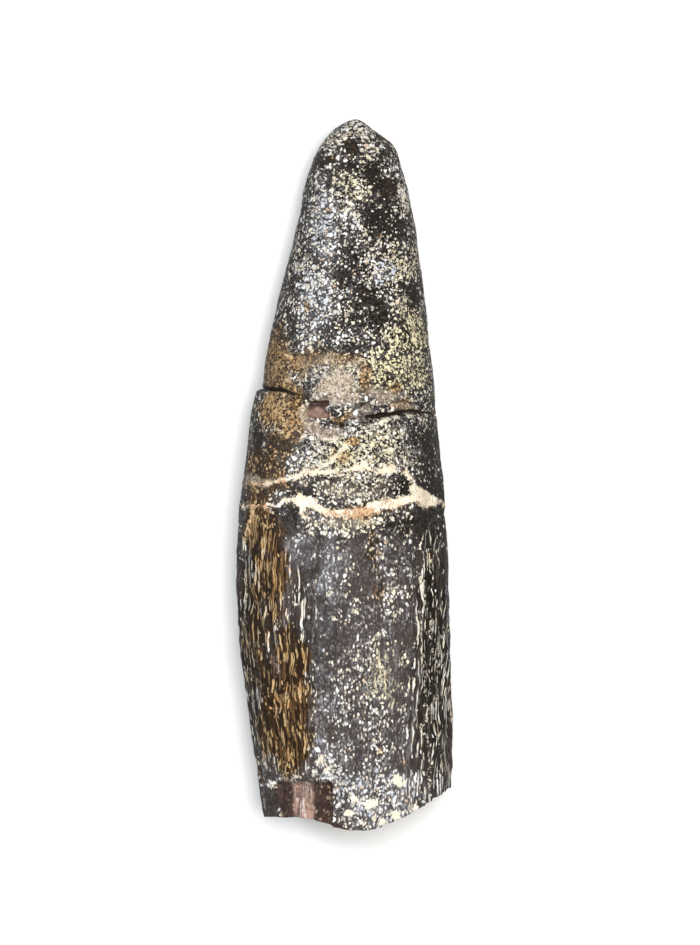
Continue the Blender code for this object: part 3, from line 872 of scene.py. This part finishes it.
def flecks(t, place, kind, density, smaller=1.0):
    """Round flecks, one to a cell, with three chance numbers for each, then those that the density shows."""
    per_mm, least_reach, most_reach, dimmest = kind
    cells = t.node("TexVoronoi", {"Vector": place, "Scale": per_mm}).outputs
    chance = t.parts(cells["Color"])
    reach = t.scaled(chance[1], most_reach - least_reach, least_reach)
    fleck = t.between(t.math("DIVIDE", t.times(cells["Distance"], smaller), reach), 1.08, 0.62)
    here = t.between(t.math("SUBTRACT", density, chance[0]), -0.03, 0.05)
    strength = t.scaled(chance[2], 1.05 - dimmest, dimmest)
    return fleck, chance, t.times(t.times(fleck, here), strength, clamp=True)


def light_mineral(t, marks, places, middling, threads):
    """Where light mineral shows, as flecks of three sizes, threads and fibres, then the grit below it."""
    ragged, streak, strand = places
    density = t.scaled(middling, 1.2, -0.30)
    for name, share in FLECKS_BY_MARK.items():
        density = t.scaled(marks[name], share, density)
    density = t.larger(density, LEAST_FLECKS)

    smaller = t.scaled(marks["root"], 0.35, 1.0)
    _, chance, light = flecks(t, ragged, FLECKS, density, smaller)
    _, _, large = flecks(t, ragged, LARGE_FLECKS, t.scaled(density, 0.45, -0.06), smaller)
    grit, grit_chance, small = flecks(t, streak, GRIT, t.scaled(density, 0.7, 0.03))
    light = t.larger(t.larger(light, large), small)

    wanted = t.between(t.scaled(middling, 0.5, marks["thread"]), 0.55, 1.25)
    strength = t.scaled(marks["ochre"], 0.3, 0.6)
    light = t.larger(light, t.times(t.times(threads, wanted), strength, clamp=True))

    share = t.scaled(middling, 0.7, t.scaled(marks["ochre"], 0.24, -0.06))
    share = t.scaled(marks["cream"], 0.25, share)
    fibre, fibre_chance, fibres = flecks(t, strand, FIBRES, t.times(share, marks["fibrous"]))
    fibres = t.times(fibres, t.scaled(marks["ochre"], -0.25, 1.0), clamp=True)
    light = t.larger(light, fibres)

    grit = t.times(grit, t.scaled(grit_chance[1], 0.9, 0.1))
    fibre = t.times(fibre, t.scaled(fibre_chance[1], 0.9, 0.1))
    return light, t.math("ADD", grit, t.times(t.math("SUBTRACT", fibre, grit), marks["fibrous"])), chance


def enamel_colour(t, marks, light, grit, chance, middling, fine, threads):
    """The dark enamel with its grey grit, under flecks that are cream, white, bluish, yellow or golden. On
    the crown, the bluish ground and flecks under the cool patches are a painted sheen and glare.
    """
    ochre = t.scaled(middling, 1.2, t.math("SUBTRACT", marks["ochre"], 0.60))
    ochre = t.between(t.scaled(chance[0], 0.3, ochre), 0.25, 0.75)
    warm = t.between(t.scaled(marks["dark"], -0.3, middling), 0.25, 0.60)
    pale = t.scaled(marks["root"], 0.70, 0.10)
    pale = t.scaled(marks["dark"], -0.90, pale, clamp=True)
    # Painted sheen: under the cool patches on the crown, the ground turns bluish grey; on the root this is
    # its real slate tone.
    clouded_and_sheen = t.times(t.between(marks["cool_and_glare"], 0.2, 1.0), t.between(middling, 0.35, 0.65))
    mid = t.blend(t.times(clouded_and_sheen, 0.60), t.blend(warm, BROWN, SLATE), BLUISH)
    mid = t.blend(ochre, mid, RUST)
    deep = t.blend(t.times(clouded_and_sheen, 0.35), t.blend(pale, BLACK, DEEP_GREY), SLATE)
    deep = t.blend(ochre, deep, RUST_DARK)
    texture = t.scaled(marks["dark"], -0.35, t.scaled(pale, 0.4, 0.6), clamp=True)
    ground = t.blend(t.times(grit, texture, clamp=True), deep, mid)

    tint = t.blend(t.between(chance[2], 0.40, 0.70), CREAM, WHITE)
    tint = t.blend(t.between(chance[2], 0.05, 0.03), tint, BLUSH)
    tint = t.blend(t.times(marks["yellow"], 0.9), tint, YELLOW)
    # Painted glints: under the cool patches on the crown, the flecks turn bluish white; on the root they are
    # real bluish-grey flecks.
    bluish = t.blend(t.between(chance[1], 0.25, 0.75), WHITE, BLUISH)
    cool_and_glare = t.times(t.between(marks["cool_and_glare"], 0.1, 0.8), t.between(chance[2], 0.15, 0.40))
    tint = t.blend(cool_and_glare, tint, bluish)
    tint = t.blend(ochre, tint, t.blend(chance[1], GOLD, PALE_GOLD))
    skin = t.blend(light, ground, tint)

    film = t.between(t.scaled(middling, 0.6, t.math("SUBTRACT", marks["beige"], 0.3)), 0.15, 1.0)
    tan = t.blend(t.larger(threads, t.between(fine, 0.45, 0.65)), TAN_DARK, TAN)
    return t.blend(t.times(film, 0.8), skin, tan)


def with_veins(t, skin, ochre, middling, fine, threads):
    """Adds the cream mineral that fills the old cracks and lies in larger spots."""
    ragged = t.scaled(fine, 0.40, t.scaled(threads, 0.08, -0.24))
    on_line, on_vein, on_spot = (
        t.between(t.math("ADD", t.mark(name), ragged), -0.04, full)
        for name, full in (("line", 0.05), ("vein", 0.06), ("spot", 0.05))
    )
    line = t.blend(t.between(ochre, 0.25, 0.55), CREAM, PALE_GOLD)
    skin = t.blend(t.times(on_line, 0.8), skin, line)
    chalk = t.blend(t.between(middling, 0.32, 0.47), WHITE, CREAM)
    stained = t.scaled(ochre, 0.35, t.scaled(fine, 0.7, middling))
    chalk = t.blend(t.between(stained, 0.98, 1.10), chalk, t.blend(threads, RED_BROWN, PEACH))
    chalk = t.blend(t.times(t.between(fine, 0.50, 0.62), 0.7), chalk, PEACH)
    skin = t.blend(on_vein, skin, chalk)
    spot = t.blend(t.between(middling, 0.35, 0.45), WHITE, CREAM)
    return t.blend(t.times(on_spot, 0.9), skin, spot), t.larger(on_vein, on_spot)


def with_breaks(t, skin, light, grit, grain, strand, fine):
    """Adds the brown dentine under the chips, with painted white glints on the chip, the broken end, and the
    painted shade inside the crack and the pits.
    """
    core = t.mark("core")
    ruddy = t.mark("ruddy")
    patchy = t.noise(grain, PATCHY_PER_MM, 3, 0.6)
    flesh = t.blend(ruddy, DENTINE, DENTINE_RUDDY)
    flesh = t.blend(t.times(t.between(patchy, 0.58, 0.38), 0.65), flesh, DENTINE_DARK)
    flesh = t.blend(t.times(t.times(light, t.mark("root")), 0.4), flesh, BLUSH)
    # Painted glints: white streaks painted into the ruddy dentine of the chip.
    glints = t.between(t.noise(strand, GLINTS_PER_MM, 3, 0.7), 0.52, 0.64)
    glints = t.times(glints, t.between(ruddy, 0.7, 1.0))
    flesh = t.blend(t.times(glints, 0.5), flesh, WHITE)
    growth = t.math("SINE", t.scaled(core, GROWTH_RINGS * math.tau, t.times(patchy, 9.0)))
    growth = t.scaled(growth, 0.05, t.scaled(grit, 0.30, patchy))
    broken = t.blend(t.between(growth, 0.35, 0.85), BROKEN_DARK, BROKEN)
    broken = t.blend(t.between(core, 0.055, 0.075), DEEP_GREY, broken)
    pulp = t.blend(t.between(fine, 0.3, 0.7), BROKEN_DARK, PULP)
    broken = t.blend(t.between(t.scaled(patchy, 0.2, core), 0.60, 0.70), broken, pulp)
    flesh = t.blend(t.between(core, 0.0, 0.01), flesh, broken)
    skin = t.blend(t.between(t.mark("dentine"), 0.35, 0.65), skin, flesh)
    # Painted shade inside the crack and the pits.
    return t.blend(t.between(t.mark("gap"), 0.25, 0.85), skin, CRACK_SHADE_BLACK)


# Clear glue on the crack, then white drops that paint glints of the light on it: across, distance from the
# tip, half size each way.
GLUE_BEADS = (
    (-0.66, 15.55, 0.28, 0.2), (-0.42, 15.42, 0.22, 0.14), (-0.5, 15.8, 0.26, 0.16),
    (0.78, 15.78, 0.26, 0.2), (0.6, 16.22, 0.12, 0.11), (0.28, 16.62, 0.2, 0.11), (0.78, 16.85, 0.15, 0.1),
)
PAINTED_GLINT_DROPS = (
    (0.58, 15.76, 0.16, 0.13), (0.6, 16.18, 0.12, 0.1), (0.36, 16.63, 0.24, 0.08), (0.8, 16.8, 0.05, 0.09),
    (-0.34, 15.32, 0.12, 0.04),
)
GLUE_HEIGHT_SHARE = 0.7
GLUE_SUNK_SHARE = 0.25
GLUE_SEGMENTS = 32
# White rims round the beads: painted glints of the light on the glue's edges.
PAINTED_GLINT_RIM = 0.034
PAINTED_GLINT_RIM_LEAST = 0.12
PAINTED_GLINT_UNEVEN = 0.15
PAINTED_GLINT_TURN = 2.2
PAINTED_GLINT_RIM_SIDES = 6


def height_at(points, across, along):
    """The height of the fossil's upper side at a place, read from its nearest point."""
    upper = points[points[:, 2] > TIP_HEIGHT]
    return upper[np.argmin(np.hypot(upper[:, 0] - across, upper[:, 1] - along)), 2]


def painted_glint_rim(name, points, middle, half_sizes, lopsided, material):
    """A thin white rim round a bead where it meets the fossil, thickest on one side: a painted glint of the
    light on the glue's edge.
    """
    turns = np.linspace(0, math.tau, GLUE_SEGMENTS, endpoint=False)
    uneven = 1 + PAINTED_GLINT_UNEVEN * np.sin(2 * turns + lopsided)
    across = middle[0] + half_sizes[0] * uneven * np.cos(turns)
    along = middle[1] + half_sizes[1] * uneven * np.sin(turns)
    height = [height_at(points, *place) for place in zip(across, along)]
    radius = PAINTED_GLINT_RIM * (PAINTED_GLINT_RIM_LEAST + np.clip(np.cos(turns - lopsided), 0, 1))
    add_piece(name, *tube(np.stack([across, along, height], axis=-1), radius), material)


def tube(path, radius):
    """A thin tube along a closed path that lies nearly level, with its own radius at each point."""
    heading = np.roll(path, -1, axis=0) - np.roll(path, 1, axis=0)
    sideways = np.stack([heading[:, 1], -heading[:, 0], 0 * heading[:, 0]], axis=-1)
    sideways /= np.linalg.norm(sideways, axis=1, keepdims=True)
    turns = np.linspace(0, math.tau, PAINTED_GLINT_RIM_SIDES, endpoint=False)[:, None]
    out = np.cos(turns) * sideways[:, None] + np.sin(turns) * np.array([0, 0, 1])
    here = np.arange(len(path) * PAINTED_GLINT_RIM_SIDES).reshape(len(path), PAINTED_GLINT_RIM_SIDES)
    ahead = np.roll(here, -1, axis=0)
    faces = np.stack([here, ahead, np.roll(ahead, -1, axis=1), np.roll(here, -1, axis=1)], axis=-1)
    return (path[:, None] + radius[:, None, None] * out).reshape(-1, 3), faces.reshape(-1, 4).tolist()


def add_object(name, data):
    thing = bpy.data.objects.new(name, data)
    bpy.context.scene.collection.objects.link(thing)
    return thing


def add_piece(name, points, faces, material):
    mesh = bpy.data.meshes.new(name)
    mesh.from_pydata((points * METRES_PER_MM).tolist(), [], faces)
    mesh.shade_smooth()
    mesh.materials.append(material)
    piece = add_object(name, mesh)
    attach(piece, "root")


def plain_material(name, looks):
    t = Tree(bpy.data.materials.new(name))
    for look, value in looks.items():
        t.look(look, value)
    return t.owner


def glue_bead(name, points, middle, half_sizes, material):
    """A flattened bead that sits a little in the fossil."""
    bpy.ops.mesh.primitive_uv_sphere_add(segments=GLUE_SEGMENTS, ring_count=GLUE_SEGMENTS // 2, radius=1)
    sphere = bpy.context.object
    places = np.array([vertex.co for vertex in sphere.data.vertices])
    faces = [tuple(face.vertices) for face in sphere.data.polygons]
    bpy.data.objects.remove(sphere)
    half_height = GLUE_HEIGHT_SHARE * min(half_sizes)
    base = np.array([*middle, height_at(points, *middle) - GLUE_SUNK_SHARE * half_height])
    add_piece(name, base + places * (*half_sizes, half_height), faces, material)


def make_glue(points, shift):
    """Clear beads of glue on the crack, each with a thin pale rim, and small white drops. The rims and the
    drops are painted glints of the light.
    """
    clear = plain_material("clear_glue", {"Transmission Weight": 1.0, "IOR": 1.5, "Roughness": 0.02})
    # Plain white for the rims and drops: painted highlights.
    glint_white = plain_material("painted_glint_white", {"Base Color": WHITE, "Roughness": 0.25})
    for name, beads, material in (("glue_bead", GLUE_BEADS, clear), ("painted_glint_drop", PAINTED_GLINT_DROPS, glint_white)):
        for number, (across, distance, *half_sizes) in enumerate(beads, 1):
            middle = np.array([across, LENGTH - distance]) + shift[:2]
            glue_bead(f"{name}_{number}", points, middle, half_sizes, material)
            if beads is GLUE_BEADS:
                painted_glint_rim(f"painted_glint_rim_{number}", points, middle, half_sizes, PAINTED_GLINT_TURN * number, glint_white)


def make_fossil():
    mesh, points, shift = main_mesh()
    mesh.materials.append(fossil_material())
    fossil = add_object("fossil_tooth", mesh)
    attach(fossil, "root")
    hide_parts("tooth")
    make_glue(points, shift)


FLOOR_SIZE = 5.0
FLOOR_DROP = 0.02


def make_floor():
    bpy.ops.mesh.primitive_plane_add(size=FLOOR_SIZE, location=(0, 0, -FLOOR_DROP * METRES_PER_MM))
    floor = bpy.context.object
    floor.name = "floor"
    floor.visible_glossy = False
    floor.visible_diffuse = False
    pale = {"Base Color": colour(0.9, 0.9, 0.9), "Roughness": 0.9}
    floor.data.materials.append(plain_material("pale_floor", pale))


# Each lamp's place, size, power and tint.
OVERHEAD = ((0.4, 0.2, 3.0), (1.6, 1.6), 118, (1.0, 0.99, 0.97))
SIDE_LAMP = ((-0.18, 0.07, 0.2), (0.06, 0.09), 0.2, (0.88, 0.94, 1.0))


def area_light(name, place, size, power, tint):
    light = bpy.data.lights.new(name, "AREA")
    light.shape = "RECTANGLE"
    light.size, light.size_y = size
    light.energy = power
    light.color = tint
    lamp = add_object(name, light)
    lamp.location = place
    lamp.rotation_euler = (-Vector(place)).to_track_quat("-Z", "Y").to_euler()
    return lamp


def make_lights():
    """A soft light overhead and a small window at the left that the enamel mirrors."""
    area_light("overhead", *OVERHEAD).visible_glossy = False
    area_light("window", *SIDE_LAMP)


ROOM_LIGHT = 0.25
HORIZON_WHITE_TO = 0.045
HORIZON_FADED_AT = 0.09


def make_room():
    """A dim pale room, white at the level of the horizon, so that a low camera sees no end to the floor."""
    t = Tree(bpy.data.worlds.new("room"), "Background")
    direction = t.node("TexCoord").outputs["Generated"]
    level = t.math("ABSOLUTE", t.parts(direction)[2])
    horizon = t.between(level, HORIZON_FADED_AT, HORIZON_WHITE_TO)
    t.look("Strength", t.scaled(horizon, 1 - ROOM_LIGHT, ROOM_LIGHT))
    t.look("Color", colour(1.0, 1.0, 1.0))
    bpy.context.scene.world = t.owner


CAMERA_DISTANCE = 900.0
CAMERA_AIM = (0.294, 0.08, 4.0)
FRAME_HEIGHT = 50.5
SENSOR = 36.0


def make_camera():
    camera = bpy.data.cameras.new("camera")
    camera.lens = SENSOR * CAMERA_DISTANCE / FRAME_HEIGHT
    camera.sensor_width = SENSOR
    camera.clip_start = 0.01
    camera.clip_end = 10.0
    eye = add_object("camera", camera)
    eye.location = Vector(CAMERA_AIM) * METRES_PER_MM + Vector((0, 0, CAMERA_DISTANCE * METRES_PER_MM))
    bpy.context.scene.camera = eye
    bpy.context.scene.view_settings.view_transform = "Standard"


make_fossil()
make_floor()
make_lights()
make_room()
make_camera()
